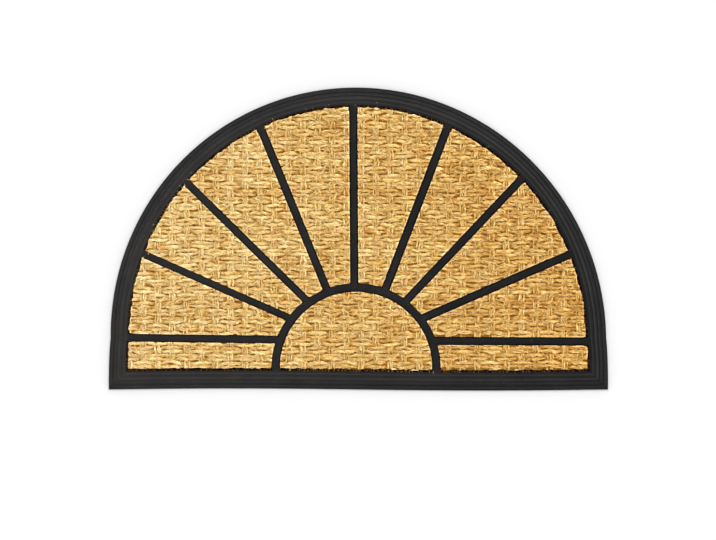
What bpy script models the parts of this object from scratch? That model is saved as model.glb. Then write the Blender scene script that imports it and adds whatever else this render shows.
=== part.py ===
"""Half-round coir doormat: a moulded rubber tray with panels of woven coir set into it.

Metres, +Z up. The mat lies with its underside on z = 0. X runs along the straight edge and Y from
that edge to the crown of the arch. The origin is under the middle of the mat.
"""

import math
from collections import namedtuple

import bmesh
import bpy
from mathutils import Vector
from mathutils.geometry import intersect_line_sphere_2d

# Outline of the mat: an arch on two short upright sides and a straight base
HALF_WIDTH = 0.375
ARCH_RADIUS = 0.3742
ARCH_CENTRE = Vector((0.0, -0.1486))
ARCH_CROWN = 0.0020        # the crown stands out and the two feet draw in by this much
ARCH_LEAN = 0.0021         # the left shoulder is fuller and the right one flatter by this much
BASE_Y = -0.2260
BASE_WAVER = 0.0016        # the base bows in left of the middle and out right of it
RECESS_SHIFT = 0.0013      # the recess lies this far left of the outline's middle
ARCH_STEPS = 72
SIDE_STEPS = 4
BASE_STEPS = 20

# Border: a thin lip, a bevel that carries fine beads, and a flat rim round the recess
LIP_HEIGHT = 0.0024
RIM_HEIGHT = 0.0075
RIM_START = 0.0200
RIM_END = 0.0268
WALL_FOOT = 0.0274
FLOOR_HEIGHT = 0.0020
BEAD_FIRST = 0.0056
BEAD_PITCH = 0.00575
BEAD_COUNT = 4
BEAD_WIDTH = 0.0020
BEAD_HEIGHT = 0.0006

# Arch rib round the half-disc at the middle of the base
RING_CENTRE = Vector((-0.0037, -0.1935))
RING_RADIUS = 0.1208
RING_HEIGHT = 0.0073
RING_TOP_WIDTH = 0.0082
RING_CHANNEL = 0.0130
RING_FOOT_BEARING = -5.0   # how far the rib's feet run down into the base border, in degrees
RING_STEPS = 48

# Straight ribs from the border to the ring, and the channel that each one stands in
RIB_HEIGHT = 0.0072
RIB_TOP_WIDTH = 0.0072
RIB_OUTER_RADIUS = 0.3510  # distance of their outer ends, inside the border, from the arch's centre
RIB_DRAFT = 0.0009         # how much wider a rib is at its foot than at its shoulder, on each side
RIB_ROUNDING = 0.0007
RIB_ROOT = 0.0010          # ribs are rooted this high above the underside, inside the floor

Rib = namedtuple("Rib", "name outer_bearing inner_bearing channel")
RIBS = (
    Rib("right_0", -0.85, 19.6, 0.0125),
    Rib("right_1", 21.65, 37.1, 0.0128),
    Rib("right_2", 44.35, 53.5, 0.0126),
    Rib("right_3", 67.15, 69.5, 0.0131),
    Rib("middle", 91.30, 91.2, 0.0126),
    Rib("left_3", 114.95, 110.3, 0.0125),
    Rib("left_2", 137.85, 125.8, 0.0120),
    Rib("left_1", 158.65, 142.7, 0.0113),
    Rib("left_0", 179.90, 159.4, 0.0119),
)

# Coir panels: cut from thick woven matting, with worn top edges
COIR_BOTTOM = 0.0023
COIR_TOP = 0.0083
COIR_INSET = 0.0292
COIR_BASE_INSET = 0.0302
COIR_LEFT_X = -0.3461
COIR_RIGHT_X = 0.3437
COIR_FRAY = 0.0008         # how far the cut edge wavers beside the border
COIR_CHAMFER = 0.0012
LEAST_STEP = 0.0040        # points of a panel's edge are no closer than this, apart from its corners
CORNER_TURN = math.radians(20.0)
CIRCLE_STEP = math.radians(7.5)


def polar(radius, bearing):
    """The point at a distance and a bearing in radians, anticlockwise from +X."""
    return Vector((radius * math.cos(bearing), radius * math.sin(bearing)))


def arch_radius(bearing):
    return ARCH_RADIUS - ARCH_CROWN * math.cos(2 * bearing) - ARCH_LEAN * math.sin(2 * bearing)


def side_half_width(fraction):
    """Half the width at a fraction of the way down the upright sides, which flare a little."""
    foot = arch_radius(0.0)
    return foot + (HALF_WIDTH - foot) * (1 - (1 - fraction) ** 3)


def fray(index):
    """How the hand-cut edge of the coir wavers from point to point, between -1 and 1."""
    return math.sin(2.1 * index) * math.cos(0.7 * index + 1.0)


def outline(inset, base_inset=None, waver=0.0):
    """The mat's outline moved inwards, anticlockwise from the right-hand foot of the arch."""
    base_inset = inset if base_inset is None else base_inset
    arch = [math.pi * step / ARCH_STEPS for step in range(ARCH_STEPS + 1)]
    sides = [step / SIDE_STEPS for step in range(1, SIDE_STEPS + 1)]
    drop = ARCH_CENTRE.y - BASE_Y - base_inset
    shift = Vector((-RECESS_SHIFT * inset / WALL_FOOT, 0.0))

    points = []
    for step, bearing in enumerate(arch):
        radius = arch_radius(bearing) - inset - waver * fray(step)
        points.append(ARCH_CENTRE + polar(radius, bearing))
    points += [Vector((inset - side_half_width(f), ARCH_CENTRE.y - drop * f)) for f in sides]
    for step in range(1, BASE_STEPS):
        fraction = step / BASE_STEPS
        x = (HALF_WIDTH - inset) * (2 * fraction - 1)
        y = BASE_Y + base_inset + BASE_WAVER * math.sin(2 * math.pi * fraction) + waver * fray(step)
        points.append(Vector((x, y)))
    points += [Vector((side_half_width(f) - inset, ARCH_CENTRE.y - drop * f)) for f in reversed(sides)]
    return [point + shift for point in points]


def bevel_height(inset):
    """Height of the border between its beads: it climbs from the lip to the rim, and stays level."""
    climb = min(inset / RIM_START, 1.0)
    return LIP_HEIGHT + (RIM_HEIGHT - LIP_HEIGHT) * climb


def border_profile():
    """Insets and heights from the foot of the outer lip, over the border, to the recess floor."""
    slope = [(RIM_START, RIM_HEIGHT)]
    for number in range(BEAD_COUNT):
        middle = BEAD_FIRST + BEAD_PITCH * number
        for side, rise in ((-1, 0.0), (0, BEAD_HEIGHT), (1, 0.0)):
            inset = middle + side * BEAD_WIDTH / 2
            slope.append((inset, bevel_height(inset) + rise))
    lip = [(0.0, 0.0), (0.0, LIP_HEIGHT)]
    return lip + sorted(slope) + [(RIM_END, RIM_HEIGHT), (WALL_FOOT, FLOOR_HEIGHT)]


def rib_section(height, top_width):
    """Across and up for half a turn round a rib: drafted sides with a small rounding at the top."""
    shoulder = top_width / 2 + RIB_ROUNDING
    foot = shoulder + RIB_DRAFT
    right_half = [(foot, RIB_ROOT), (shoulder, height - RIB_ROUNDING), (top_width / 2, height)]
    left_half = [(-across, up) for across, up in reversed(right_half)]
    return right_half + left_half


def rib_ends(rib):
    """The two ends of a rib's centre line: inside the border, and on the ring's centre line."""
    outer = ARCH_CENTRE + polar(RIB_OUTER_RADIUS, math.radians(rib.outer_bearing))
    inner = RING_CENTRE + polar(RING_RADIUS, math.radians(rib.inner_bearing))
    return outer, inner


def loft(loops):
    """A closed body through loops of 3-D points, each with as many points, capped at both ends."""
    mesh = bmesh.new()
    rings = [[mesh.verts.new(point) for point in loop] for loop in loops]
    for lower, upper in zip(rings, rings[1:]):
        for i in range(len(lower)):
            j = (i + 1) % len(lower)
            mesh.faces.new((lower[i], lower[j], upper[j], upper[i]))
    mesh.faces.new(rings[0])
    mesh.faces.new(rings[-1])
    bmesh.ops.recalc_face_normals(mesh, faces=mesh.faces)
    return mesh


def raised(points, height):
    return [Vector((point.x, point.y, height)) for point in points]


def rib_body(rib):
    outer, inner = rib_ends(rib)
    along = (inner - outer).normalized()
    across = Vector((-along.y, along.x))
    section = rib_section(RIB_HEIGHT, RIB_TOP_WIDTH)
    loops = []
    for end in (outer, inner):
        places = [(end + across * side, up) for side, up in section]
        loops.append([Vector((place.x, place.y, up)) for place, up in places])
    return loft(loops)


def ring_body():
    section = rib_section(RING_HEIGHT, RING_TOP_WIDTH)
    sweep = 180.0 - 2 * RING_FOOT_BEARING
    loops = []
    for step in range(RING_STEPS + 1):
        bearing = math.radians(RING_FOOT_BEARING + sweep * step / RING_STEPS)
        places = [(RING_CENTRE + polar(RING_RADIUS + side, bearing), up) for side, up in section]
        loops.append([Vector((place.x, place.y, up)) for place, up in places])
    return loft(loops)


def keep_side(points, on_line, inward):
    """Cut a polygon along a line, and keep the side that inward points to."""
    kept = []
    for here, after in zip(points, points[1:] + points[:1]):
        depth_here = (here - on_line).dot(inward)
        depth_after = (after - on_line).dot(inward)
        if depth_here >= 0:
            kept.append(here)
        if depth_here * depth_after < 0:
            kept.append(here.lerp(after, depth_here / (depth_here - depth_after)))
    return kept


def ring_arc(start, end, clockwise):
    """Points of a circle round the ring's centre between two points on it."""
    first = math.atan2(*(start - RING_CENTRE).yx)
    last = math.atan2(*(end - RING_CENTRE).yx)
    sweep = (last - first) % (2 * math.pi)
    if clockwise:
        sweep -= 2 * math.pi
    steps = max(1, round(abs(sweep) / CIRCLE_STEP))
    radius = (start - RING_CENTRE).length
    return [RING_CENTRE + polar(radius, first + sweep * step / steps) for step in range(1, steps)]


def cut_by_ring(points, radius, keep_inside):
    """Keep the part of an anticlockwise polygon inside or outside a circle round the ring's centre."""
    kept = []
    leaving = None
    for here, after in zip(points, points[1:] + points[:1]):
        here_kept = ((here - RING_CENTRE).length < radius) == keep_inside
        after_kept = ((after - RING_CENTRE).length < radius) == keep_inside
        if here_kept:
            kept.append(here)
        if here_kept != after_kept:
            crossings = intersect_line_sphere_2d(here, after, RING_CENTRE, radius, True)
            kept.append(next(point for point in crossings if point is not None))
            if here_kept:
                leaving = len(kept)
    arc = ring_arc(kept[leaving - 1], kept[leaving % len(kept)], clockwise=not keep_inside)
    return kept[:leaving] + arc + kept[leaving:]


def turn_at(before, here, after):
    return abs((here - before).angle_signed(after - here))


def spaced(points):
    """Drop points that crowd a neighbour, but keep the corners."""
    corners = []
    for i, here in enumerate(points):
        corners.append(turn_at(points[i - 1], here, points[(i + 1) % len(points)]) > CORNER_TURN)
    kept = []
    for i, here in enumerate(points):
        follows = (i + 1) % len(points)
        crowds_last = kept and (here - kept[-1]).length < LEAST_STEP
        crowds_next = corners[follows] and (here - points[follows]).length < LEAST_STEP
        if corners[i] or not (crowds_last or crowds_next):
            kept.append(here)
    return kept


def shrunk(points, distance):
    """An anticlockwise polygon with its edges moved inwards and its corners mitred."""
    moved = []
    for i, here in enumerate(points):
        back = (here - points[i - 1]).normalized()
        ahead = (points[(i + 1) % len(points)] - here).normalized()
        inward = (Vector((-back.y, back.x)) + Vector((-ahead.y, ahead.x))).normalized()
        mitre = inward.dot(Vector((-ahead.y, ahead.x)))
        moved.append(here + inward * distance / mitre)
    return moved


def beside_rib(points, rib, inward_to):
    """Cut a polygon along one side of a rib's channel, and keep the side that holds a point."""
    outer, inner = rib_ends(rib)
    along = (inner - outer).normalized()
    across = Vector((-along.y, along.x))
    if (inward_to - outer).dot(across) < 0:
        across = -across
    return keep_side(points, outer + across * rib.channel / 2, across)


def coir_field():
    """All that lies inside the border, with the wavering edge of cut matting."""
    field = outline(COIR_INSET, COIR_BASE_INSET, COIR_FRAY)
    field = keep_side(field, Vector((COIR_LEFT_X, 0.0)), Vector((1.0, 0.0)))
    return keep_side(field, Vector((COIR_RIGHT_X, 0.0)), Vector((-1.0, 0.0)))


def ray_outline(first, second):
    """The panel between two neighbouring ribs, outside the ring."""
    middle_bearing = math.radians((first.outer_bearing + second.outer_bearing) / 2)
    inside = ARCH_CENTRE + polar(RIB_OUTER_RADIUS, middle_bearing)
    points = beside_rib(coir_field(), first, inside)
    points = beside_rib(points, second, inside)
    return cut_by_ring(points, RING_RADIUS + RING_CHANNEL / 2, keep_inside=False)


def strip_outline(rib, side):
    """The strip under a level rib, between the ring and one side of the mat."""
    corner = Vector((side * HALF_WIDTH, BASE_Y))
    points = beside_rib(coir_field(), rib, corner)
    points = keep_side(points, RING_CENTRE, Vector((side, 0.0)))
    return cut_by_ring(points, RING_RADIUS + RING_CHANNEL / 2, keep_inside=False)


def sun_outline():
    """The half-disc inside the ring."""
    return cut_by_ring(coir_field(), RING_RADIUS - RING_CHANNEL / 2, keep_inside=True)


def coir_body(points):
    """A slab of matting: upright cut sides and a small chamfer where the top edge is worn."""
    edge = spaced(points)
    shoulder = COIR_TOP - COIR_CHAMFER
    top = shrunk(edge, COIR_CHAMFER)
    return loft([raised(edge, COIR_BOTTOM), raised(edge, shoulder), raised(top, COIR_TOP)])


def tray_body():
    """The backing and its border, before the ribs are joined to it."""
    return loft([raised(outline(inset), height) for inset, height in border_profile()])


def make_material(name, colour, roughness):
    material = bpy.data.materials.new(name)
    material.use_nodes = True
    shader = material.node_tree.nodes["Principled BSDF"]
    shader.inputs["Base Color"].default_value = (*colour, 1.0)
    shader.inputs["Roughness"].default_value = roughness
    shader.inputs["Metallic"].default_value = 0.0
    material.diffuse_color = (*colour, 1.0)
    return material


def add_object(name, body, material, parent, origin=(0.0, 0.0)):
    """Turn a body into an object whose own origin lies on the ground under the given point."""
    place = Vector((origin[0], origin[1], 0.0))
    bmesh.ops.translate(body, verts=body.verts, vec=-place)
    mesh = bpy.data.meshes.new(name)
    body.to_mesh(mesh)
    body.free()
    mesh.materials.append(material)
    mesh.shade_smooth()
    mesh.set_sharp_from_angle(angle=math.radians(25.0))
    item = bpy.data.objects.new(name, mesh)
    item.location = place
    item.parent = parent
    bpy.context.scene.collection.objects.link(item)
    return item


def join_to(base, part):
    """Union a hidden shape into an object, so that both make one moulding."""
    part.hide_render = True
    part.display_type = "WIRE"
    union = base.modifiers.new(part.name, "BOOLEAN")
    union.operation = "UNION"
    union.solver = "EXACT"
    union.object = part


def middle_of(points):
    return sum(points, Vector((0.0, 0.0))) / len(points)


def add_tray(parent):
    rubber = make_material("black_rubber", (0.022, 0.022, 0.024), 0.72)
    tray = add_object("rubber_tray", tray_body(), rubber, parent)
    join_to(tray, add_object("guide_ring", ring_body(), rubber, parent, RING_CENTRE))
    for rib in RIBS:
        guide = add_object(f"guide_rib_{rib.name}", rib_body(rib), rubber, parent, rib_ends(rib)[0])
        join_to(tray, guide)


def add_coir(name, points, parent):
    colour = (0.62, 0.39, 0.14)
    coir = make_material(f"{name}_fibre", colour, 0.85)
    add_object(name, coir_body(points), coir, parent, middle_of(points))


def add_panels(parent):
    left_to_right = list(reversed(RIBS))
    for number, (first, second) in enumerate(zip(left_to_right, left_to_right[1:]), start=1):
        add_coir(f"coir_ray_{number}", ray_outline(first, second), parent)
    add_coir("coir_strip_left", strip_outline(left_to_right[0], -1), parent)
    add_coir("coir_strip_right", strip_outline(left_to_right[-1], 1), parent)
    add_coir("coir_sun", sun_outline(), parent)


def clear_scene():
    for item in list(bpy.data.objects):
        bpy.data.objects.remove(item, do_unlink=True)


def build():
    clear_scene()
    doormat = bpy.data.objects.new("doormat", None)
    bpy.context.scene.collection.objects.link(doormat)
    add_tray(doormat)
    add_panels(doormat)


build()
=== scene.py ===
"""The looks of a half-round coir doormat: a moulded rubber tray, and coir matting woven yarn by yarn."""

import math
from collections import namedtuple

import bpy
import numpy as np
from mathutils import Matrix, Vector, noise


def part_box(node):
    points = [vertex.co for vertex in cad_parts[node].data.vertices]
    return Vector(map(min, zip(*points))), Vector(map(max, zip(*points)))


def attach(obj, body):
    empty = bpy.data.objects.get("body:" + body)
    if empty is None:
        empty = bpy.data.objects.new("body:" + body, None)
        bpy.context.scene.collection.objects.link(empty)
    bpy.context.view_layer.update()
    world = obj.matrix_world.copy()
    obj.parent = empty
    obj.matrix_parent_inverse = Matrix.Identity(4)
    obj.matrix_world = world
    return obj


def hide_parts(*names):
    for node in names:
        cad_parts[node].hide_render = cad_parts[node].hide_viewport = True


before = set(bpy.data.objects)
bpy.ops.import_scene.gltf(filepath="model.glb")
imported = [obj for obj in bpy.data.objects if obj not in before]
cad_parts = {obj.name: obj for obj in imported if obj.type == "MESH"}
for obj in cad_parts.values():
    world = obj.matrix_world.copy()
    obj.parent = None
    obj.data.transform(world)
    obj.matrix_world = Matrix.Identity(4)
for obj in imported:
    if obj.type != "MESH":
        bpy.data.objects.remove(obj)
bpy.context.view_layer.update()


# Camera
# The photograph looks straight down on the mat from far off, so a long lens high above it gives the
# same flat view. The picture is 716 pixels wide, and the mat's width takes up 499 of them.

PICTURE_WIDTH = 716
MAT_WIDTH_IN_PICTURE = 499
CAMERA_PLACE = (-0.0007, -0.0465, 4.0)

low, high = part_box("rubber_tray")
view_width = (high[0] - low[0]) * PICTURE_WIDTH / MAT_WIDTH_IN_PICTURE
camera_data = bpy.data.cameras.new("camera")
camera_data.lens = camera_data.sensor_width * CAMERA_PLACE[2] / view_width
camera = bpy.data.objects.new("camera", camera_data)
camera.location = CAMERA_PLACE
bpy.context.scene.collection.objects.link(camera)
bpy.context.scene.camera = camera


# Floor and light
# A plain pale studio floor in even, soft light that comes mostly from the sides, so that it leaves
# a faint shadow all round the mat, and one wide soft lamp far off, high up behind the mat's right.

FLOOR_SIZE = 6.0
FLOOR_COLOUR = (0.552, 0.552, 0.552, 1.0)
OVERHEAD_LIGHT = 0.56
SIDE_LIGHT = 11.5
SIDE_LIGHT_FALL = 4.0      # how fast the side light fades with height above the horizon
LAMP_STRENGTH = 2.1
LAMP_SPREAD = 0.60         # how wide the lamp looks from the mat, in radians
LAMP_PLACE = (1.3, 1.9, 2.9)


class Wire:
    """A socket's value in a node tree. Arithmetic on it adds the Math or Vector Math nodes it needs."""

    def __init__(self, graph, socket):
        self.graph = graph
        self.socket = socket

    def __getitem__(self, name):
        """Another output of the same node."""
        return Wire(self.graph, pick(self.socket.node.outputs, name))

    def is_vector(self):
        return self.socket.type in ("VECTOR", "RGBA")

    def work(self, operation, *values):
        vectors = [isinstance(v, tuple) or isinstance(v, Wire) and v.is_vector() for v in values]
        kind = "ShaderNodeVectorMath" if any(vectors) else "ShaderNodeMath"
        return self.graph.add(kind, {"operation": operation}, dict(enumerate(values)))

    def __add__(self, other):
        return self.work("ADD", self, other)

    def __radd__(self, other):
        return self.work("ADD", other, self)

    def __sub__(self, other):
        return self.work("SUBTRACT", self, other)

    def __rsub__(self, other):
        return self.work("SUBTRACT", other, self)

    def __mul__(self, other):
        return self.work("MULTIPLY", self, other)

    def __rmul__(self, other):
        return self.work("MULTIPLY", other, self)

    def __truediv__(self, other):
        return self.work("DIVIDE", self, other)

    def __pow__(self, other):
        return self.work("POWER", self, other)

    def __lt__(self, other):
        return self.work("LESS_THAN", self, other)

    def limited(self):
        """The value, kept between 0 and 1."""
        not_below = self.work("MAXIMUM", self, 0.0)
        return self.work("MINIMUM", not_below, 1.0)

    def rounded(self):
        return self.work("ROUND", self)

    def rounded_down(self):
        return self.work("FLOOR", self)

    def cosine(self):
        return self.work("COSINE", self)

    def bearing(self):
        """A vector's bearing in its own XY plane, in radians."""
        return self.work("ARCTAN2", self.part("Y"), self.part("X"))

    def part(self, axis):
        """One coordinate of a vector."""
        return self.graph.add("ShaderNodeSeparateXYZ", None, {"Vector": self})[axis]

    def dot(self, other):
        return self.work("DOT_PRODUCT", self, other)["Value"]

    def cross(self, other):
        return self.work("CROSS_PRODUCT", self, other)


def pick(sockets, key):
    """A node's socket by its place, or the first one in use that has the name."""
    if isinstance(key, int):
        return sockets[key]
    return next(socket for socket in sockets if socket.name == key and socket.enabled)


class Graph:
    """A node tree under construction."""

    def __init__(self, tree):
        self.tree = tree

    def add(self, kind, settings=None, sockets=None):
        """Add a node with its settings and its sockets' values or links, and return its first output."""
        node = self.tree.nodes.new(kind)
        for name, value in (settings or {}).items():
            if name == "stops":
                self.set_stops(node.color_ramp, value)
            elif name == "captures":
                for item, socket_type in value.items():
                    node.capture_items.new(socket_type, item)
            else:
                setattr(node, name, value)
        for key, value in (sockets or {}).items():
            self.plug(pick(node.inputs, key), value)
        outputs = [socket for socket in node.outputs if socket.enabled]
        return Wire(self, outputs[0]) if outputs else node

    def plug(self, socket, value):
        """Link a wire, or a list of them, into a socket, or set the socket to a plain value."""
        if isinstance(value, list):
            for wire in reversed(value):
                self.tree.links.new(wire.socket, socket)
        elif isinstance(value, Wire):
            self.tree.links.new(value.socket, socket)
        elif socket.type == "VECTOR" and isinstance(value, (int, float)):
            socket.default_value = (value, value, value)
        else:
            socket.default_value = value

    @staticmethod
    def set_stops(ramp, stops):
        """Give a colour ramp its stops, as places and colours."""
        while len(ramp.elements) > 1:
            ramp.elements.remove(ramp.elements[-1])
        for number, (place, colour) in enumerate(stops):
            element = ramp.elements[0] if number == 0 else ramp.elements.new(place)
            element.position = place
            element.color = (*colour, 1.0)

    def vector(self, **parts):
        return self.add("ShaderNodeCombineXYZ", None, parts)

    def noise(self, vector, scale, detail=2.0, roughness=0.5):
        """Soft noise around 0.5, and around a mid grey in its Color output."""
        sockets = {"Vector": vector, "Scale": scale, "Detail": detail, "Roughness": roughness}
        return self.add("ShaderNodeTexNoise", {"noise_dimensions": "3D"}, sockets)

    def shake(self, vector, scale, detail=2.0):
        """A vector of noise, each part of it around 0."""
        return self.noise(vector, scale, detail)["Color"] - (0.5, 0.5, 0.5)

    def mix_colours(self, factor, first, second, blend="MIX"):
        settings = {"data_type": "RGBA", "blend_type": blend}
        return self.add("ShaderNodeMix", settings, {"Factor": factor, "A": first, "B": second})["Result"]

    def attribute(self, name, output):
        return self.add("ShaderNodeAttribute", {"attribute_name": name})[output]


def new_material(name, **constants):
    """A material, its shader with its constants set, and a graph for what varies over it."""
    material = bpy.data.materials.new(name)
    material.use_nodes = True
    shader = material.node_tree.nodes["Principled BSDF"]
    for socket, value in constants.items():
        shader.inputs[socket.replace("_", " ")].default_value = value
    return material, shader, Graph(material.node_tree)


def add_object(name, mesh):
    item = bpy.data.objects.new(name, mesh)
    bpy.context.scene.collection.objects.link(item)
    return item


def light_the_room():
    """Give the world a sky that is brighter near the horizon than overhead, and hang the lamp."""
    world = bpy.data.worlds.new("studio")
    world.use_nodes = True
    background = world.node_tree.nodes["Background"]
    background.inputs["Color"].default_value = (1.0, 1.0, 1.0, 1.0)
    graph = Graph(world.node_tree)
    upward = graph.add("ShaderNodeTexCoord")["Generated"].part("Z").limited()
    graph.plug(background.inputs["Strength"], OVERHEAD_LIGHT + SIDE_LIGHT * (1.0 - upward) ** SIDE_LIGHT_FALL)
    bpy.context.scene.world = world

    lamp_data = bpy.data.lights.new("softbox", "SUN")
    lamp_data.energy = LAMP_STRENGTH
    lamp_data.angle = LAMP_SPREAD
    lamp = bpy.data.objects.new("softbox", lamp_data)
    lamp.location = LAMP_PLACE
    lamp.rotation_euler = (-Vector(LAMP_PLACE)).to_track_quat("-Z", "Y").to_euler()
    bpy.context.scene.collection.objects.link(lamp)
    bpy.context.scene.view_settings.view_transform = "Standard"


def add_floor():
    half = FLOOR_SIZE / 2
    mesh = bpy.data.meshes.new("floor")
    corners = [(-half, -half, 0), (half, -half, 0), (half, half, 0), (-half, half, 0)]
    mesh.from_pydata(corners, [], [(0, 1, 2, 3)])
    mesh.materials.append(new_material("studio_floor", Base_Color=FLOOR_COLOUR, Roughness=0.95)[0])
    add_object("floor", mesh)


light_the_room()
add_floor()


# Rubber tray
# One moulding of black rubber: the backing, the bevelled border with its fine beads, the straight
# ribs and the arch-shaped rib. Its skin is matt and grainy, paler where it has been scuffed, with
# painted highlights on the bead crests and rib tops.

HALF_WIDTH = 0.375
ARCH_RADIUS = 0.3742
ARCH_CENTRE = Vector((0.0, -0.1486))
ARCH_CROWN = 0.0020        # the crown stands out and the two feet draw in by this much
ARCH_LEAN = 0.0021         # the left shoulder is fuller and the right one flatter by this much
BASE_Y = -0.2260
BASE_WAVER = 0.0016        # the base bows in left of the middle and out right of it
RECESS_SHIFT = 0.0013      # the recess lies this far left of the outline's middle
ARCH_STEPS = 288
SIDE_STEPS = 14
BASE_STEPS = 120

LIP_HEIGHT = 0.0024
LIP_ROUNDING = 0.0007
RIM_HEIGHT = 0.0075
RIM_START = 0.0200
RIM_END = 0.0268
RIM_ROUNDING = 0.0009
WALL_FOOT = 0.0274
FLOOR_HEIGHT = 0.0020
BEAD_FIRST = 0.0056
BEAD_PITCH = 0.00575
BEAD_COUNT = 4
BEAD_WIDTH = 0.0020
BEAD_HEIGHT = 0.0006
BEAD_SIDES = 6

RING_CENTRE = Vector((-0.0037, -0.1935))
RING_RADIUS = 0.1208
RING_HEIGHT = 0.0073
RING_TOP_WIDTH = 0.0082
RING_FOOT_BEARING = -5.0
RING_STEPS = 200
RIB_HEIGHT = 0.0072
RIB_TOP_WIDTH = 0.0072
RIB_OUTER_RADIUS = 0.3510
RIB_DRAFT = 0.0009
RIB_ROUNDING = 0.0010
RIB_ROOT = 0.0010
RIB_STEPS = 40
RIB_FLARE = 0.0011         # ribs widen by this much on each side where they run into the border
FLARE_REACH = 0.0045
ROUNDING_STEPS = 4

RUBBER_DARK = (0.0035, 0.0035, 0.0038)
# worn rubber, also the colour of the highlights painted on bead crests and rib tops
RUBBER_WORN_AND_HIGHLIGHT = (0.0235, 0.0220, 0.0210)
RUBBER_DUST = (0.130, 0.085, 0.040)
RUBBER_FADE = 0.55         # how much darker the rubber grows, for each metre to the right
LEAST_SCUFF_AND_HIGHLIGHT = 0.10
SLOPE_START = 0.007        # the border grows paler and paler from here inward
SLOPE_LENGTH = 0.009
RIB_TOP_START = 0.0066     # only the tops of the ribs, above this height, are painted paler: a painted highlight
RIB_TOP_DEPTH = 0.0006
BEAD_CREST = 0.42          # the share of a bead's width, either side of its crest, that is painted paler as a highlight
RUBBER_GRAIN = 1500.0      # these three are noise sizes, as cycles to the metre
RUBBER_SPECKS = 620.0
RUBBER_PATCHES = 30.0

Rib = namedtuple("Rib", "name outer_bearing inner_bearing")
RIBS = (
    Rib("right_0", -0.85, 19.6),
    Rib("right_1", 21.65, 37.1),
    Rib("right_2", 44.35, 53.5),
    Rib("right_3", 67.15, 69.5),
    Rib("middle", 91.30, 91.2),
    Rib("left_3", 114.95, 110.3),
    Rib("left_2", 137.85, 125.8),
    Rib("left_1", 158.65, 142.7),
    Rib("left_0", 179.90, 159.4),
)


def polar(radius, bearing):
    """The point at a distance and a bearing in radians, anticlockwise from +X."""
    return Vector((radius * math.cos(bearing), radius * math.sin(bearing)))


def arch_radius(bearing):
    return ARCH_RADIUS - ARCH_CROWN * math.cos(2 * bearing) - ARCH_LEAN * math.sin(2 * bearing)


def side_half_width(fraction):
    """Half the width at a fraction of the way down the upright sides, which flare a little."""
    foot = arch_radius(0.0)
    return foot + (HALF_WIDTH - foot) * (1 - (1 - fraction) ** 3)


def mat_outline(inset):
    """The mat's outline moved inwards, anticlockwise from the right-hand foot of the arch."""
    arch = [math.pi * step / ARCH_STEPS for step in range(ARCH_STEPS + 1)]
    sides = [step / SIDE_STEPS for step in range(1, SIDE_STEPS + 1)]
    drop = ARCH_CENTRE.y - BASE_Y - inset
    shift = Vector((-RECESS_SHIFT * inset / WALL_FOOT, 0.0))
    points = [ARCH_CENTRE + polar(arch_radius(bearing) - inset, bearing) for bearing in arch]
    points += [Vector((inset - side_half_width(f), ARCH_CENTRE.y - drop * f)) for f in sides]
    for step in range(1, BASE_STEPS):
        fraction = step / BASE_STEPS
        x = (HALF_WIDTH - inset) * (2 * fraction - 1)
        points.append(Vector((x, BASE_Y + inset + BASE_WAVER * math.sin(2 * math.pi * fraction))))
    points += [Vector((side_half_width(f) - inset, ARCH_CENTRE.y - drop * f)) for f in reversed(sides)]
    return [point + shift for point in points]


def rounding(corner, radius, start, end):
    """Points of a rounded corner in a section, between two bearings in degrees."""
    bearings = np.radians(np.linspace(start, end, ROUNDING_STEPS + 1))
    return [(corner[0] + radius * math.cos(b), corner[1] + radius * math.sin(b)) for b in bearings]


def border_profile():
    """Insets and heights from the foot of the lip, over the beads and the rim, to the recess floor."""
    profile = [(0.0, 0.0)]
    profile += rounding((LIP_ROUNDING, LIP_HEIGHT - LIP_ROUNDING), LIP_ROUNDING, 180, 100)
    slope = (RIM_HEIGHT - LIP_HEIGHT) / RIM_START
    for number in range(BEAD_COUNT):
        for step in range(BEAD_SIDES + 1):
            turn = step / BEAD_SIDES
            inset = BEAD_FIRST + BEAD_PITCH * number + BEAD_WIDTH * (turn - 0.5)
            rise = BEAD_HEIGHT * math.sin(math.pi * turn)
            profile.append((inset, LIP_HEIGHT + slope * min(inset, RIM_START) + rise))
    profile.append((RIM_START, RIM_HEIGHT))
    profile.sort(key=lambda point: point[0])
    profile += rounding((RIM_END - RIM_ROUNDING, RIM_HEIGHT - RIM_ROUNDING), RIM_ROUNDING, 90, 5)
    return profile + [(WALL_FOOT - 0.0001, FLOOR_HEIGHT + 0.0005), (WALL_FOOT + 0.0006, FLOOR_HEIGHT)]


def rib_section(height, top_width, flare):
    """Across and up, from foot to foot: drafted sides and rounded shoulders."""
    shoulder = top_width / 2 + RIB_ROUNDING + flare
    corner = (shoulder - RIB_ROUNDING, height - RIB_ROUNDING)
    right = [(shoulder + RIB_DRAFT, RIB_ROOT)] + rounding(corner, RIB_ROUNDING, 0, 90)
    return right + [(-across, up) for across, up in reversed(right)]


def loft(name, loops):
    """A closed body through loops of points, each with as many points, capped at both ends."""
    count = len(loops[0])
    points = [point for loop in loops for point in loop]
    faces = []
    for ring in range(len(loops) - 1):
        first, second = ring * count, (ring + 1) * count
        for i in range(count):
            j = (i + 1) % count
            faces.append((first + i, first + j, second + j, second + i))
    faces.append(tuple(range(count))[::-1])
    faces.append(tuple(range(len(points) - count, len(points))))
    mesh = bpy.data.meshes.new(name)
    mesh.from_pydata(points, [], faces)
    return mesh


def tray_mesh():
    """The backing and its border, before the ribs are joined to it."""
    loops = [[(p.x, p.y, height) for p in mat_outline(inset)] for inset, height in border_profile()]
    return loft("tray", loops)


def swept_rib(name, stations, height, top_width, flares):
    """A rib along stations, each a place and the direction across it."""
    loops = []
    for (place, across), flare in zip(stations, flares):
        section = rib_section(height, top_width, flare)
        loops.append([(*(place + across * side), up) for side, up in section])
    return loft(name, loops)


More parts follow.
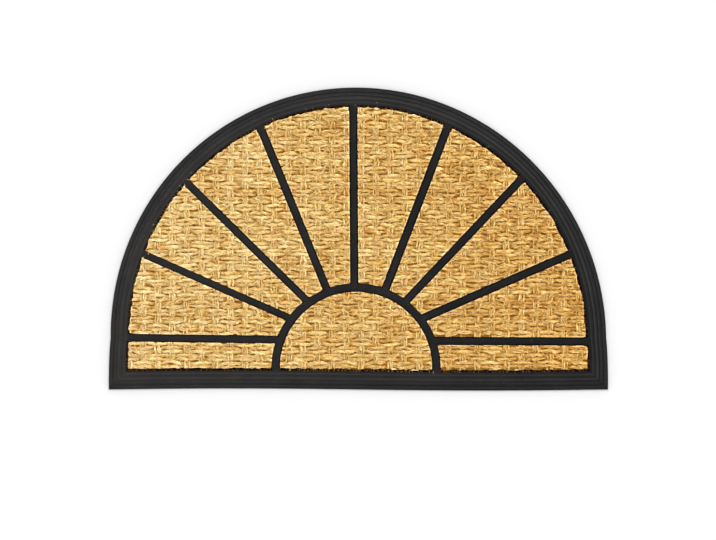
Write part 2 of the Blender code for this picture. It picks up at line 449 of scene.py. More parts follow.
def straight_rib(rib):
    outer = ARCH_CENTRE + polar(RIB_OUTER_RADIUS, math.radians(rib.outer_bearing))
    inner = RING_CENTRE + polar(RING_RADIUS, math.radians(rib.inner_bearing))
    along = (inner - outer).normalized()
    across = Vector((-along.y, along.x))
    length = (inner - outer).length
    wall = RIB_OUTER_RADIUS - (ARCH_RADIUS - WALL_FOOT)
    stations = []
    flares = []
    for step in range(RIB_STEPS + 1):
        distance = length * (step / RIB_STEPS) ** 2
        stations.append((outer + along * distance, across))
        flares.append(RIB_FLARE * math.exp(-max(distance - wall, 0.0) / FLARE_REACH))
    return swept_rib(f"rib_{rib.name}", stations, RIB_HEIGHT, RIB_TOP_WIDTH, flares)


def arch_rib():
    stations = []
    for step in range(RING_STEPS + 1):
        sweep = 180.0 - 2 * RING_FOOT_BEARING
        bearing = math.radians(180.0 - RING_FOOT_BEARING - sweep * step / RING_STEPS)
        stations.append((RING_CENTRE + polar(RING_RADIUS, bearing), polar(1.0, bearing)))
    return swept_rib("rib_arch", stations, RING_HEIGHT, RING_TOP_WIDTH, [0.0] * len(stations))


def distance_inside(points, outline):
    """How far each point lies from an outline."""
    starts = np.array([(p.x, p.y) for p in outline])
    steps = np.roll(starts, -1, axis=0) - starts
    nearest = np.full(len(points), np.inf)
    for start, step in zip(starts, steps):
        share = np.clip(((points - start) @ step) / (step @ step), 0.0, 1.0)
        away = points - (start + share[:, None] * step)
        nearest = np.minimum(nearest, np.hypot(away[:, 0], away[:, 1]))
    return nearest


def wear_and_highlight_of(points, outline):
    """How pale each point of the rubber is made: beads and rims most, the outer slope least. The bead crests
    and rib tops are painted highlights.
    """
    inset = distance_inside(points[:, :2], outline)
    on_border = inset < RIM_END
    climb = np.clip((inset - SLOPE_START) / SLOPE_LENGTH, 0.0, 1.0)
    bead = (inset - BEAD_FIRST) / BEAD_PITCH
    off_bead = np.abs(bead - np.clip(np.round(bead), 0, BEAD_COUNT - 1)) * BEAD_PITCH
    crest = np.exp(-(off_bead / (BEAD_WIDTH * BEAD_CREST)) ** 2)
    # painted highlight on each bead crest; the border also grows paler from the outer slope inward
    wear = 0.10 + 0.26 * climb + 0.42 * crest * (0.35 + 0.65 * climb)
    # painted highlight along the rib tops
    tops = np.clip((points[:, 2] - RIB_TOP_START) / RIB_TOP_DEPTH, 0.0, 1.0)
    return np.where(on_border, wear, 0.05 + 0.20 * tops)


def rubber_material():
    """Black rubber, greyer where it is worn and where highlights are painted, with a fine grain and a few
    specks of coir dust.
    """
    material, shader, graph = new_material("black_rubber", Specular_IOR_Level=0.10)
    place = graph.add("ShaderNodeTexCoord")["Object"]
    wear = graph.attribute("wear", "Fac")
    grain = graph.noise(place, RUBBER_GRAIN, 3.0, 0.6)["Fac"]
    patches = graph.noise(place, RUBBER_PATCHES, 4.0, 0.65)["Fac"]
    # wear, plus the highlights painted on bead crests and rib tops, sets how grey the rubber is
    scuff_and_highlight = wear + (patches - 0.5) * 0.7 + (grain - 0.5) * 0.45
    scuff_and_highlight = (scuff_and_highlight - LEAST_SCUFF_AND_HIGHLIGHT - place.part("X") * RUBBER_FADE).limited()
    colour = graph.mix_colours(scuff_and_highlight, (*RUBBER_DARK, 1.0), (*RUBBER_WORN_AND_HIGHLIGHT, 1.0))
    specks = ((graph.noise(place, RUBBER_SPECKS, 1.0)["Fac"] - 0.70) * 9.0).limited()
    colour = graph.mix_colours(specks * 0.5, colour, (*RUBBER_DUST, 1.0))
    graph.plug(shader.inputs["Base Color"], colour)
    graph.plug(shader.inputs["Roughness"], 0.62 + scuff_and_highlight * 0.2)
    bump = graph.add("ShaderNodeBump", None, {"Strength": 0.45, "Distance": 0.0002, "Height": grain})
    graph.plug(shader.inputs["Normal"], bump)
    return material


def make_tray():
    """Join the ribs to the backing and its border, and store how worn each point is and where highlights are
    painted.
    """
    tray = add_object("tray_moulding", tray_mesh())
    ribs = [add_object(mesh.name, mesh) for mesh in [arch_rib(), *map(straight_rib, RIBS)]]
    for rib in ribs:
        union = tray.modifiers.new(rib.name, "BOOLEAN")
        union.operation = "UNION"
        union.solver = "MANIFOLD"
        union.object = rib
    bpy.context.view_layer.update()
    shaped = tray.evaluated_get(bpy.context.evaluated_depsgraph_get())
    mesh = bpy.data.meshes.new_from_object(shaped)
    tray.modifiers.clear()
    tray.data = mesh
    for rib in ribs:
        bpy.data.objects.remove(rib)

    points = np.empty(len(mesh.vertices) * 3, np.float32)
    mesh.vertices.foreach_get("co", points)
    # how worn each point is, with highlights painted on bead crests and rib tops
    wear = wear_and_highlight_of(points.reshape(-1, 3), mat_outline(0.0))
    mesh.attributes.new("wear", "FLOAT", "POINT").data.foreach_set("value", wear.astype(np.float32))
    mesh.materials.clear()
    mesh.materials.append(rubber_material())
    mesh.shade_smooth()
    mesh.set_sharp_from_angle(angle=math.radians(38.0))
    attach(tray, "root")
    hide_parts("rubber_tray")
    return tray


tray = make_tray()


# Coir matting
# Thick basket weave of hand-spun coconut fibre. Pairs of fat weft yarns float over three slim warp
# strands and dive under the next three. It is one cloth, cut into panels that are pressed into the tray.

WARP_PITCH = 0.0218
WARP_STRANDS = (-0.0031, 0.0, 0.0031)
WEFT_PITCH = 0.01125
WEFT_YARNS = (-0.0028, 0.0028)
WEAVE_ORIGIN = (0.004, 0.002, 0.0)
CLOTH_BOTTOM = 0.0023
CLOTH_TOP = 0.0046
CUT_TOP = 0.0140           # the body that cuts the yarns to the panel's outline reaches this high
CUT_EDGE_HIGHLIGHT_WIDTH = 0.0016     # how wide the highlight painted along a yarn's cut end is
OVERSHOOT = 0.004
YARN_STEP = 0.0027
EDGE_STEP = 0.0022
EDGE_BITE = 0.0007         # how far inside the outline the ragged edge lies on average
SLOW_BITES = 0.0013        # how deep its long waves and its short nicks are
QUICK_BITES = 0.0018
SLOW_BITE_SCALE = 52.0
QUICK_BITE_SCALE = 190.0
BORDER_EDGE = 0.034        # points of a panel's outline nearer to the mat's outline are its frayed edge
NEAR_MISS = 0.0014         # a yarn whose lane misses a panel by less than this still lies in its edge
CLOTH_DRIFT = 0.0050       # how far the yarns drift together, as handling has pulled the cloth about
CLOTH_DRIFT_SCALE = 11.0
WANDER_SCALE = 85.0
TWIST_SCALE = 45.0         # how often the twist of a yarn tightens and slackens
FATNESS_SCALE = 90.0
YARN_LUMPS = 0.0022
YARN_LUMPS_SCALE = 260.0
RIDGE_SCALES = (430.0, 430.0, 60.0)         # across, across and along a yarn

COIR_STOPS = (
    (0.00, (0.310, 0.127, 0.018)),
    (0.22, (0.455, 0.230, 0.042)),
    (0.50, (0.575, 0.345, 0.093)),
    (0.78, (0.660, 0.452, 0.160)),
    (1.00, (0.750, 0.582, 0.282)),
)
# the colour of the highlight painted along each panel's cut edge
CUT_EDGE_HIGHLIGHT = (0.74, 0.570, 0.330)
RUSSET = (0.52, 0.245, 0.070)
PAINTED_SHADE_TINT = (1.0, 0.78, 0.17)        # painted shade: fibre deep in the weave is painted redder, as light that has passed through other fibres is
DEEPEST = 0.0045                     # the painted shade is darkest and reddest from this height down
DEEP_SPAN = 0.0025
# painted shade: how much darker the fibre is painted deep in the weave
PAINTED_HOLLOW_SHADE = 0.36
SIDE_TINTS = ((1.0, 1.03, 1.10), (1.0, 0.97, 0.88))     # paler on the left, warmer on the right
SIDE_FADE = 0.42                     # how much shade is lost for each metre to the right
FINE_STREAKS = (1200.0, 1200.0, 260.0)      # across, across and along a yarn
BROAD_STREAKS = (450.0, 450.0, 175.0)
COIR_PATCHES = 26.0
RUSSET_PATCHES = 45.0
PACKING_FUZZ = 900.0
PACKING_DARK = (0.15, 0.058, 0.008)
PACKING_LIGHT = (0.38, 0.180, 0.032)


def coir_material(name, lightness, streak, spread, bumps):
    """Coir fibre: streaks along each yarn, tones that differ from yarn to yarn, and painted shade, darker and
    redder, deep in the weave.
    """
    material, shader, graph = new_material(name, Roughness=0.8, Specular_IOR_Level=0.2)
    fibre = graph.attribute("fibre", "Vector")
    tone = graph.attribute("tone", "Fac")
    place = graph.add("ShaderNodeTexCoord")["Object"]

    fine = graph.noise(fibre * FINE_STREAKS, 1.0, 3.0, 0.65)["Fac"] - 0.5
    broad = graph.noise(fibre * BROAD_STREAKS, 1.0, 2.0, 0.6)["Fac"] - 0.5
    patches = graph.noise(place, COIR_PATCHES, 3.0, 0.6)["Fac"] - 0.5
    # painted shade: fibre low in the weave is painted darker, and below it is tinted redder
    height = ((place.part("Z") - DEEPEST) / DEEP_SPAN).limited()
    shade = lightness + (fine * 1.2 + broad * 1.9) * streak + (tone - 0.5) * spread + patches * 0.75
    shade = shade + (height - 0.8) * PAINTED_HOLLOW_SHADE - place.part("X") * SIDE_FADE
    straw = graph.add("ShaderNodeValToRGB", {"stops": COIR_STOPS}, {"Fac": shade})
    rusty = ((graph.noise(place, RUSSET_PATCHES, 3.0, 0.6)["Fac"] - 0.57) * 4.0).limited()
    straw = graph.mix_colours(rusty * 0.5, straw, (*RUSSET, 1.0))
    # painted highlight: the yarns are painted paler where they are cut at the panel's edge
    straw = graph.mix_colours(graph.attribute("cut end", "Fac") * 0.6, straw, (*CUT_EDGE_HIGHLIGHT, 1.0))
    left, right = [(*tint, 1.0) for tint in SIDE_TINTS]
    side = graph.mix_colours((0.5 + place.part("X") * 1.5).limited(), left, right)
    straw = graph.mix_colours(1.0, straw, side, "MULTIPLY")
    # painted shade: a redder tint mixed in low in the weave
    painted_deep_shade = graph.mix_colours(1.0, straw, (*PAINTED_SHADE_TINT, 1.0), "MULTIPLY")
    straw = graph.mix_colours(1.0 - height, straw, painted_deep_shade)
    graph.plug(shader.inputs["Base Color"], straw)
    if bumps:
        sockets = {"Strength": 0.7, "Distance": 0.0005, "Height": fine + broad}
        graph.plug(shader.inputs["Normal"], graph.add("ShaderNodeBump", None, sockets))
    return material


def packing_material():
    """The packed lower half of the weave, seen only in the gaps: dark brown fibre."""
    material, shader, graph = new_material("coir_packing", Roughness=0.95, Specular_IOR_Level=0.1)
    place = graph.add("ShaderNodeTexCoord")["Object"]
    fuzz = graph.noise(place, PACKING_FUZZ, 3.0, 0.7)["Fac"]
    brown = graph.mix_colours(fuzz, (*PACKING_DARK, 1.0), (*PACKING_LIGHT, 1.0))
    graph.plug(shader.inputs["Base Color"], brown)
    bump = graph.add("ShaderNodeBump", None, {"Strength": 0.8, "Distance": 0.0006, "Height": fuzz})
    graph.plug(shader.inputs["Normal"], bump)
    return material


yarn_finish = coir_material("coir_yarn", lightness=0.53, streak=1.1, spread=0.45, bumps=True)
fibre_finish = coir_material("coir_fibre", lightness=0.63, streak=0.6, spread=1.00, bumps=False)
packing_finish = packing_material()


def panel_outline(node):
    """A panel's cut outline, anticlockwise, read from the lowest points of its solid."""
    points = np.array([vertex.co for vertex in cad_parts[node].data.vertices])
    lowest = points[points[:, 2] < points[:, 2].min() + 1e-5][:, :2]
    lowest = np.unique(np.round(lowest, 6), axis=0)
    middle = lowest.mean(axis=0)
    bearings = np.arctan2(lowest[:, 1] - middle[1], lowest[:, 0] - middle[0])
    return lowest[np.argsort(bearings)]


def frayed(outline):
    """The same outline in short steps, with the edge beside the border cut raggedly."""
    points = []
    for start, end in zip(outline, np.roll(outline, -1, axis=0)):
        steps = max(1, round(float(np.hypot(*(end - start))) / EDGE_STEP))
        points += [start + (end - start) * step / steps for step in range(steps)]
    points = np.array(points)
    ahead = np.roll(points, -1, axis=0) - np.roll(points, 1, axis=0)
    inward = np.stack([-ahead[:, 1], ahead[:, 0]], axis=1) / np.hypot(ahead[:, 0], ahead[:, 1])[:, None]
    beside_border = distance_inside(points, mat_outline(0.0)) < BORDER_EDGE
    bites = []
    for x, y in points:
        slow = noise.noise(Vector((x * SLOW_BITE_SCALE, y * SLOW_BITE_SCALE, 3.0)))
        quick = noise.noise(Vector((x * QUICK_BITE_SCALE, y * QUICK_BITE_SCALE, 8.0)))
        bites.append(EDGE_BITE + SLOW_BITES * slow + QUICK_BITES * quick)
    bites = np.where(beside_border, bites, 0.0)
    return points + inward * bites[:, None]


def prism(name, outline, bottom, top):
    """A closed upright body over an outline."""
    return loft(name, [[(x, y, height) for x, y in outline] for height in (bottom, top)])


def stretches(outline, lane, axis):
    """Where a straight lane at one place across the cloth runs inside an outline."""
    crossings = []
    for start, end in zip(outline, np.roll(outline, -1, axis=0)):
        if (start[1 - axis] > lane) != (end[1 - axis] > lane):
            share = (lane - start[1 - axis]) / (end[1 - axis] - start[1 - axis])
            crossings.append(start[axis] + share * (end[axis] - start[axis]))
    crossings.sort()
    return list(zip(crossings[::2], crossings[1::2]))


def lay_lines(name, outline, axis, pitch, strands):
    """Straight lines where yarns will run through a panel, a little longer than it."""
    origin = WEAVE_ORIGIN[1 - axis]
    first = math.floor((outline[:, 1 - axis].min() - origin) / pitch)
    last = math.ceil((outline[:, 1 - axis].max() - origin) / pitch)
    points = []
    for group in range(first, last + 1):
        for strand in strands:
            lane = origin + group * pitch + strand
            for tried in (lane, lane - NEAR_MISS, lane + NEAR_MISS):
                spans = stretches(outline, tried, axis)
                if spans:
                    break
            for start, end in spans:
                for place in (start - OVERSHOOT, end + OVERSHOOT):
                    point = [0.0, 0.0, 0.0]
                    point[axis] = place
                    point[1 - axis] = lane
                    points.append(point)
    mesh = bpy.data.meshes.new(name)
    mesh.from_pydata(points, [(i, i + 1) for i in range(0, len(points), 2)], [])
    return mesh


YARN_INPUTS = {
    "Panel": "NodeSocketObject",
    "Along": "NodeSocketVector",
    "Across": "NodeSocketVector",
    "Origin": "NodeSocketVector",
    "Own pitch": "NodeSocketFloat",
    "Cross pitch": "NodeSocketFloat",
    "Parity": "NodeSocketFloat",
    "Middle": "NodeSocketFloat",
    "Rise": "NodeSocketFloat",
    "Sharpness": "NodeSocketFloat",
    "Pinch": "NodeSocketFloat",
    "Wander": "NodeSocketFloat",
    "Radius": "NodeSocketFloat",
    "Sides": "NodeSocketInt",
    "Flatness": "NodeSocketFloat",
    "Plies": "NodeSocketFloat",
    "Groove": "NodeSocketFloat",
    "Relief": "NodeSocketFloat",
    "Twists": "NodeSocketFloat",
    "Step": "NodeSocketFloat",
    "Seed": "NodeSocketFloat",
    "Heading": "NodeSocketFloat",
    "Finish": "NodeSocketMaterial",
}


def new_tree(name, inputs):
    """A geometry tree with a socket for its mesh and one for each named input."""
    tree = bpy.data.node_groups.new(name, "GeometryNodeTree")
    tree.interface.new_socket("Geometry", in_out="INPUT", socket_type="NodeSocketGeometry")
    for label, kind in inputs.items():
        tree.interface.new_socket(label, in_out="INPUT", socket_type=kind)
    tree.interface.new_socket("Geometry", in_out="OUTPUT", socket_type="NodeSocketGeometry")
    return tree


def store(graph, geometry, name, kind, value, domain="POINT"):
    """Store a value on a geometry under a name, for a material or a later step to read."""
    settings = {"data_type": kind, "domain": domain}
    sockets = {"Geometry": geometry, "Name": name, "Value": value}
    return graph.add("GeometryNodeStoreNamedAttribute", settings, sockets)


def yarn_tree():
    """Turn straight lines into spun yarns that weave over and under, cut to the panel."""
    tree = new_tree("woven_yarn", YARN_INPUTS)
    graph = Graph(tree)
    given = graph.add("NodeGroupInput")

    lines = graph.add("GeometryNodeMeshToCurve", None, {"Mesh": given})
    sockets = {"Curve": lines, "Length": given["Step"]}
    lines = graph.add("GeometryNodeResampleCurve", {"mode": "LENGTH"}, sockets)
    place = graph.add("GeometryNodeInputPosition") - given["Origin"]
    along = place.dot(given["Along"])
    lane = place.dot(given["Across"])
    group = (lane / given["Own pitch"]).rounded()
    offset = lane - group * given["Own pitch"]
    swing = ((along / given["Cross pitch"] + group + given["Parity"]) * math.pi).cosine()
    dip = ((1.0 - swing) * 0.5) ** given["Sharpness"]

    lane_number = (lane * 4000.0).rounded() * 0.37 + given["Seed"]
    luck = graph.add("ShaderNodeTexWhiteNoise", {"noise_dimensions": "1D"}, {"W": lane_number})
    captures = {"home": "VECTOR", "own": "VECTOR", "run": "FLOAT", "tone": "FLOAT", "dip": "FLOAT"}
    sockets = {"Geometry": lines, "home": place, "own": place + luck["Color"] * 9.0, "run": along,
               "tone": luck["Value"], "dip": dip}
    lines = graph.add("GeometryNodeCaptureAttribute", {"captures": captures}, sockets)
    wander = graph.shake(lines["own"], WANDER_SCALE, 3.0) * given["Wander"] * (1.0, 1.0, 0.5)
    drift = graph.shake(lines["home"], CLOTH_DRIFT_SCALE, 1.0) * (CLOTH_DRIFT, CLOTH_DRIFT, 0.0)
    wander = wander + drift
    spread = offset * (1.05 - dip * given["Pinch"])
    height = given["Middle"] + given["Rise"] * (1.0 - 2.0 * dip)
    woven = given["Along"] * along + given["Across"] * (group * given["Own pitch"] + spread)
    woven = woven + graph.vector(Z=height) + given["Origin"] + wander
    yarns = graph.add("GeometryNodeSetPosition", None, {"Geometry": lines, "Position": woven})
    yarns = graph.add("GeometryNodeSetCurveNormal", {"mode": "Z_UP"}, {"Curve": yarns})
    turn = lines["run"] * given["Twists"] * (2 * math.pi) + lines["tone"] * 6.28
    turn = turn + graph.noise(lines["own"], TWIST_SCALE)["Fac"] * 7.0
    yarns = graph.add("GeometryNodeSetCurveTilt", None, {"Curve": yarns, "Tilt": turn})
    fatness = 0.56 + graph.noise(lines["own"], FATNESS_SCALE)["Fac"] * 0.92 - lines["dip"] * 0.14
    yarns = graph.add("GeometryNodeSetCurveRadius", None, {"Curve": yarns, "Radius": fatness})
    sockets = {"Geometry": yarns, "centre": graph.add("GeometryNodeInputPosition")}
    yarns = graph.add("GeometryNodeCaptureAttribute", {"captures": {"centre": "VECTOR"}}, sockets)

    sockets = {"Resolution": given["Sides"], "Radius": given["Radius"]}
    ring = graph.add("GeometryNodeCurvePrimitiveCircle", {"mode": "RADIUS"}, sockets)
    sockets = {"Geometry": ring, "round": graph.add("GeometryNodeInputPosition")}
    ring = graph.add("GeometryNodeCaptureAttribute", {"captures": {"round": "VECTOR"}}, sockets)
    sockets = {"Curve": yarns, "Profile Curve": ring, "Fill Caps": True,
               "Scale": graph.add("GeometryNodeInputRadius")}
    tubes = graph.add("GeometryNodeCurveToMesh", None, sockets)

    fibre = ring["round"] + graph.vector(Z=lines["run"] + lines["tone"] * 7.0)
    ridges = graph.noise(fibre * RIDGE_SCALES, 1.0, 1.0)["Fac"] - 0.5
    ply = (ring["round"].bearing() * given["Plies"] * 0.5).cosine()
    now = graph.add("GeometryNodeInputPosition")
    radial = (now - yarns["centre"]) * (1.0 + ridges * given["Relief"] - ply ** 2.0 * given["Groove"])
    flattened = radial * (1.0, 1.0, 0.0) + graph.vector(Z=radial.part("Z") * given["Flatness"])
    lumps = graph.shake(now, YARN_LUMPS_SCALE) * YARN_LUMPS
    sockets = {"Geometry": tubes, "Position": yarns["centre"] + flattened + lumps}
    tubes = graph.add("GeometryNodeSetPosition", None, sockets)
    tubes = store(graph, tubes, "tone", "FLOAT", lines["tone"])
    tubes = store(graph, tubes, "fibre", "FLOAT_VECTOR", fibre)

    cutter = graph.add("GeometryNodeObjectInfo", None, {"Object": given["Panel"]})["Geometry"]
    settings = {"operation": "INTERSECT", "solver": "MANIFOLD"}
    cut = graph.add("GeometryNodeMeshBoolean", settings, {1: [tubes, cutter]})
    corner = graph.add("GeometryNodeInputPosition")
    settings = {"domain": "FACE", "data_type": "FLOAT_VECTOR"}
    middle = graph.add("GeometryNodeFieldOnDomain", settings, {"Value": corner})
    just_inside = corner * 0.92 + middle * 0.08
    for name, kind in (("tone", "FLOAT"), ("fibre", "FLOAT_VECTOR")):
        value = graph.add("GeometryNodeInputNamedAttribute", {"data_type": kind}, {"Name": name})
        sockets = {"Mesh": tubes, "Value": value, "Sample Position": just_inside}
        nearest = graph.add("GeometryNodeSampleNearestSurface", {"data_type": kind}, sockets)
        cut = store(graph, cut, name, kind, nearest, "CORNER")
    # painted highlight: how near each point lies to the cut, for the pale band along the panel's edge
    from_edge = graph.add("GeometryNodeProximity", {"target_element": "FACES"}, {0: cutter})["Distance"]
    cut = store(graph, cut, "cut end", "FLOAT", (1.0 - from_edge / CUT_EDGE_HIGHLIGHT_WIDTH).limited())
    cut = store(graph, cut, "heading", "FLOAT", given["Heading"])
    cut = graph.add("GeometryNodeSetShadeSmooth", None, {"Geometry": cut, "Shade Smooth": True})
    cut = graph.add("GeometryNodeRealizeInstances", None, {"Geometry": cut})
    cut = graph.add("GeometryNodeSetMaterial", None, {"Geometry": cut, "Material": given["Finish"]})
    graph.add("NodeGroupOutput", None, {"Geometry": cut})
    return tree


def grow(name, mesh, tree, values):
    """Run a geometry tree on a mesh, and return the result as an object with a plain mesh."""
    source = add_object(name + "_source", mesh)
    modifier = source.modifiers.new("grow", "NODES")
    modifier.node_group = tree
    for item in tree.interface.items_tree:
        if item.in_out == "INPUT" and item.name in values:
            modifier[item.identifier] = values[item.name]
    bpy.context.view_layer.update()
    shaped = source.evaluated_get(bpy.context.evaluated_depsgraph_get())
    result = bpy.data.meshes.new_from_object(shaped)
    result.name = name
    source.modifiers.remove(modifier)
    bpy.data.objects.remove(source)
    return add_object(name, result)


woven_yarn = yarn_tree()

WEFT = {
    "Along": (1.0, 0.0, 0.0), "Across": (0.0, 1.0, 0.0), "Origin": WEAVE_ORIGIN,
    "Own pitch": WEFT_PITCH, "Cross pitch": WARP_PITCH, "Parity": 0.0,
    "Middle": 0.0053, "Rise": 0.0010, "Sharpness": 1.7, "Pinch": 0.40, "Wander": 0.0085,
    "Radius": 0.00315, "Sides": 9, "Flatness": 0.62,
    "Plies": 3.0, "Groove": 0.36, "Relief": 1.1, "Twists": 25.0,
    "Step": YARN_STEP, "Seed": 1.0, "Heading": 0.22, "Finish": yarn_finish,
}
WARP = {
    "Along": (0.0, 1.0, 0.0), "Across": (1.0, 0.0, 0.0), "Origin": WEAVE_ORIGIN,
    "Own pitch": WARP_PITCH, "Cross pitch": WEFT_PITCH, "Parity": 1.0,
    "Middle": 0.0056, "Rise": 0.0014, "Sharpness": 1.1, "Pinch": 0.1, "Wander": 0.0060,
    "Radius": 0.00165, "Sides": 6, "Flatness": 0.85,
    "Plies": 2.0, "Groove": 0.32, "Relief": 1.0, "Twists": 34.0,
    "Step": YARN_STEP, "Seed": 50.0, "Heading": 1.50, "Finish": yarn_finish,
}


# Loose fibres
# Stiff coconut fibres stand out of the yarns and lie matted over the weave, mostly along the weft, and
# cut ends fray out of each panel's edge. They drape over what lies under them: yarns, ribs and border.

FIBRE_INPUTS = {
    "Weft": "NodeSocketObject",
    "Warp": "NodeSocketObject",
    "Tray": "NodeSocketObject",
    "Matted": "NodeSocketFloat",
    "Standing": "NodeSocketFloat",
    "Fringe step": "NodeSocketFloat",
    "Thickness": "NodeSocketFloat",
    "Seed": "NodeSocketInt",
    "Finish": "NodeSocketMaterial",
}
FIBRES = {
    "Matted": 100000.0, "Standing": 12000.0,            # to the square metre
    "Fringe step": 0.0042, "Thickness": 0.00045, "Finish": fibre_finish,
}

Habit = namedtuple("Habit", "length bow lift")
MATTED = Habit((0.006, 0.015), (-0.004, 0.004), (0.0, 0.0012))      # each from least to most
STANDING = Habit((0.004, 0.012), (-0.003, 0.003), (0.0008, 0.0024))
FRINGE = Habit((0.003, 0.008), (-0.002, 0.002), (-0.0004, 0.0006))
MATTED_SKEW = 0.50         # how far fibres turn from the yarn under them, or from the edge
FRINGE_SKEW = 0.33
KINKS = 0.0070
KINK_SCALE = 150.0
LOOK_DOWN_FROM = 0.030     # above everything, so that a ray down from here finds what a fibre lies on
FIBRE_SEGMENTS = 4


def fibre_tree():
    """Scatter bowed fibres over a panel and along its edge, and drape them over what lies below."""
    tree = new_tree("loose_fibres", FIBRE_INPUTS)
    graph = Graph(tree)
    given = graph.add("NodeGroupInput")
    solids = [graph.add("GeometryNodeObjectInfo", None, {"Object": given[name]})["Geometry"]
              for name in ("Weft", "Warp", "Tray")]
    below = graph.add("GeometryNodeJoinGeometry", None, {"Geometry": solids})
    heading_below = graph.add("GeometryNodeInputNamedAttribute", {"data_type": "FLOAT"}, {"Name": "heading"})

    def stored(name, kind="FLOAT"):
        return graph.add("GeometryNodeInputNamedAttribute", {"data_type": kind}, {"Name": name})

    def random(low, high, seed):
        sockets = {"Min": low, "Max": high, "Seed": given["Seed"] + seed}
        return graph.add("FunctionNodeRandomValue", {"data_type": "FLOAT"}, sockets)

    def above_here():
        here = graph.add("GeometryNodeInputPosition")
        return here * (1.0, 1.0, 0.0) + (0.0, 0.0, LOOK_DOWN_FROM)

    def look_down():
        sockets = {"Target Geometry": below, "Attribute": heading_below, "Source Position": above_here(),
                   "Ray Direction": (0.0, 0.0, -1.0), "Ray Length": LOOK_DOWN_FROM}
        return graph.add("GeometryNodeRaycast", {"data_type": "FLOAT", "mapping": "NEAREST"}, sockets)

    def rooted(points, heading, length, bow, lift, shift, girth, free):
        points = store(graph, points, "heading", "FLOAT", heading)
        points = store(graph, points, "size", "FLOAT_VECTOR", graph.vector(X=length, Y=bow))
        points = store(graph, points, "lift", "FLOAT", lift)
        points = store(graph, points, "girth", "FLOAT", girth)
        points = store(graph, points, "free", "FLOAT", free)
        return store(graph, points, "shift", "FLOAT", shift)

    def scattered(density, seed):
        sockets = {"Mesh": given, "Density": density, "Seed": given["Seed"] + seed}
        return graph.add("GeometryNodeDistributePointsOnFaces", {"distribute_method": "RANDOM"}, sockets)

    skew = random(-1.0, 1.0, 1) + random(-1.0, 1.0, 2) + random(-1.0, 1.0, 3)
    slender = random(0.0, 1.0, 16) ** 2.0
    matted = rooted(scattered(given["Matted"], 10), look_down()["Attribute"] + skew * MATTED_SKEW,
                    random(*MATTED.length, 4), random(*MATTED.bow, 5), random(*MATTED.lift, 6), 0.0,
                    1.25 - slender * 0.75, 0.0)
    a_few_stray = random(0.0, 1.02, 17).rounded_down()
    standing = rooted(scattered(given["Standing"], 20), random(0.0, 6.28, 7),
                      random(*STANDING.length, 8), random(*STANDING.bow, 9), random(*STANDING.lift, 10), 0.0,
                      0.45, a_few_stray)
    edge = graph.add("GeometryNodeMeshToCurve", None, {"Mesh": given})
    sockets = {"Curve": edge, "Length": given["Fringe step"]}
    edge = graph.add("GeometryNodeCurveToPoints", {"mode": "LENGTH"}, sockets)
    bare = stored("beside border") < random(0.03, 0.9, 18)
    sockets = {"Geometry": edge, "Selection": bare}
    edge_points = graph.add("GeometryNodeDeleteGeometry", {"domain": "POINT"}, sockets)
    outward = edge["Tangent"].cross((0.0, 0.0, 1.0))
    fringe = rooted(edge_points, outward.bearing() + skew * FRINGE_SKEW,
                    random(*FRINGE.length, 11), random(*FRINGE.bow, 12), random(*FRINGE.lift, 13),
                    random(-0.45, -0.15, 14), random(0.4, 1.0, 19), 1.0)

    sockets = {"Resolution": FIBRE_SEGMENTS, "Start": (-0.5, 0.0, 0.0), "Middle": (0.0, 1.0, 0.0),
               "End": (0.5, 0.0, 0.0)}
    bow = graph.add("GeometryNodeCurveQuadraticBezier", None, sockets)
    roots = graph.add("GeometryNodeJoinGeometry", None, {"Geometry": [matted, standing, fringe]})

    size = stored("size", "FLOAT_VECTOR")
    sockets = {"Points": roots, "Instance": bow, "Rotation": graph.vector(Z=stored("heading")), "Scale": size}
    hairs = graph.add("GeometryNodeInstanceOnPoints", None, sockets)
    slide = graph.vector(X=stored("shift"))
    sockets = {"Instances": hairs, "Translation": slide, "Local Space": True}
    hairs = graph.add("GeometryNodeTranslateInstances", None, sockets)
    hairs = store(graph, hairs, "tone", "FLOAT", random(0.0, 1.0, 15), "INSTANCE")
    hairs = graph.add("GeometryNodeRealizeInstances", None, {"Geometry": hairs})

    kink = graph.shake(graph.add("GeometryNodeInputPosition"), KINK_SCALE, 1.0) * (KINKS, KINKS, 0.0)
    hairs = graph.add("GeometryNodeSetPosition", None, {"Geometry": hairs, "Offset": kink})
    sockets = {"Target Geometry": given, "Source Position": above_here(), "Ray Direction": (0.0, 0.0, -1.0),
               "Ray Length": LOOK_DOWN_FROM * 2}
    inside = graph.add("GeometryNodeRaycast", {"data_type": "FLOAT"}, sockets)["Is Hit"]
    overhanging = stored("free") + inside < 0.5
    sockets = {"Geometry": hairs, "Selection": overhanging}
    hairs = graph.add("GeometryNodeDeleteGeometry", {"domain": "POINT"}, sockets)
    stubs = graph.add("GeometryNodeSplineLength")["Point Count"] < 1.5
    sockets = {"Geometry": hairs, "Selection": stubs}
    hairs = graph.add("GeometryNodeDeleteGeometry", {"domain": "CURVE"}, sockets)
    ground = LOOK_DOWN_FROM - look_down()["Hit Distance"]
    sockets = {"Value": ground, "Iterations": 1}
    ground = graph.add("GeometryNodeBlurAttribute", {"data_type": "FLOAT"}, sockets)
    run = graph.add("GeometryNodeSplineParameter")["Factor"]
    crown = run * (1.0 - run) * 4.0
    height = ground + stored("lift") * crown + (crown - 0.75) * 0.0004
    draped = graph.add("GeometryNodeInputPosition") * (1.0, 1.0, 0.0) + graph.vector(Z=height)
    hairs = graph.add("GeometryNodeSetPosition", None, {"Geometry": hairs, "Position": draped})

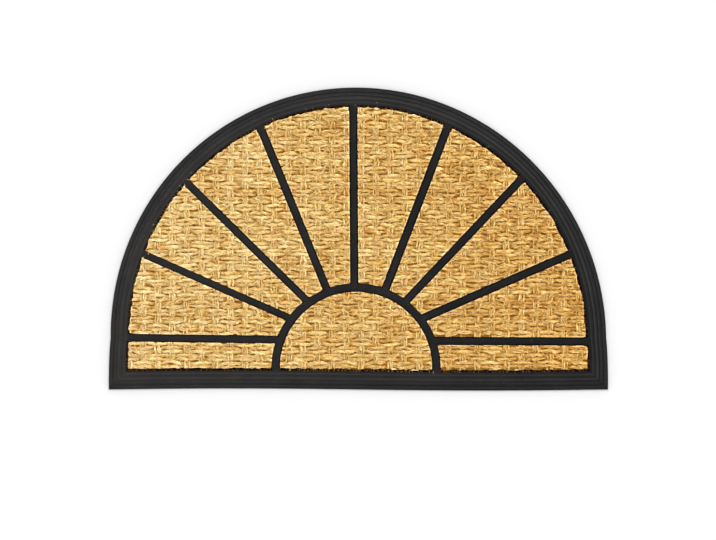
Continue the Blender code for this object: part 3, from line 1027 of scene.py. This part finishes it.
    taper = 1.0 - (run * 2.0 - 1.0) ** 4.0 * 0.5
    radius = given["Thickness"] * stored("girth") * taper
    hairs = graph.add("GeometryNodeSetCurveRadius", None, {"Curve": hairs, "Radius": radius})
    ring = graph.add("GeometryNodeCurvePrimitiveCircle", {"mode": "RADIUS"}, {"Resolution": 3, "Radius": 1.0})
    sockets = {"Curve": hairs, "Profile Curve": ring, "Fill Caps": True,
               "Scale": graph.add("GeometryNodeInputRadius")}
    strands = graph.add("GeometryNodeCurveToMesh", None, sockets)
    strands = store(graph, strands, "fibre", "FLOAT_VECTOR", graph.add("GeometryNodeInputPosition"))
    strands = graph.add("GeometryNodeSetShadeSmooth", None, {"Geometry": strands, "Shade Smooth": True})
    strands = graph.add("GeometryNodeSetMaterial", None, {"Geometry": strands, "Material": given["Finish"]})
    graph.add("NodeGroupOutput", None, {"Geometry": strands})
    return tree


loose_fibres = fibre_tree()


def flat_face(name, outline):
    """A panel's outline as one face, whose points know whether they lie beside the border."""
    mesh = bpy.data.meshes.new(name)
    mesh.from_pydata([(x, y, 0.0) for x, y in outline], [], [tuple(range(len(outline)))])
    beside = distance_inside(outline, mat_outline(0.0)) < BORDER_EDGE
    flags = mesh.attributes.new("beside border", "FLOAT", "POINT")
    flags.data.foreach_set("value", beside.astype(np.float32))
    return mesh


def weave_panel(node, number):
    """One panel: its packed cloth, the yarns woven through it, and the fibres that stand out of them."""
    outline = panel_outline(node)
    ragged = frayed(outline)
    cutter = add_object(node + "_cutter", prism(node + "_cutter", ragged, CLOTH_BOTTOM, CUT_TOP))
    weft_lines = lay_lines(node + "_weft_lines", outline, 0, WEFT_PITCH, WEFT_YARNS)
    weft = grow(node + "_weft", weft_lines, woven_yarn, {**WEFT, "Panel": cutter})
    warp_lines = lay_lines(node + "_warp_lines", outline, 1, WARP_PITCH, WARP_STRANDS)
    warp = grow(node + "_warp", warp_lines, woven_yarn, {**WARP, "Panel": cutter})
    values = {**FIBRES, "Weft": weft, "Warp": warp, "Tray": tray, "Seed": 100 * number}
    fibres = grow(node + "_fibres", flat_face(node + "_face", ragged), loose_fibres, values)
    bpy.data.objects.remove(cutter)

    cloth = add_object(node + "_cloth", prism(node + "_cloth", ragged, CLOTH_BOTTOM, CLOTH_TOP))
    cloth.data.materials.append(packing_finish)
    for piece in (cloth, weft, warp, fibres):
        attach(piece, "root")
    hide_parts(node)


panel_nodes = sorted(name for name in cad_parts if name.startswith("coir_"))
for number, node in enumerate(panel_nodes):
    weave_panel(node, number)
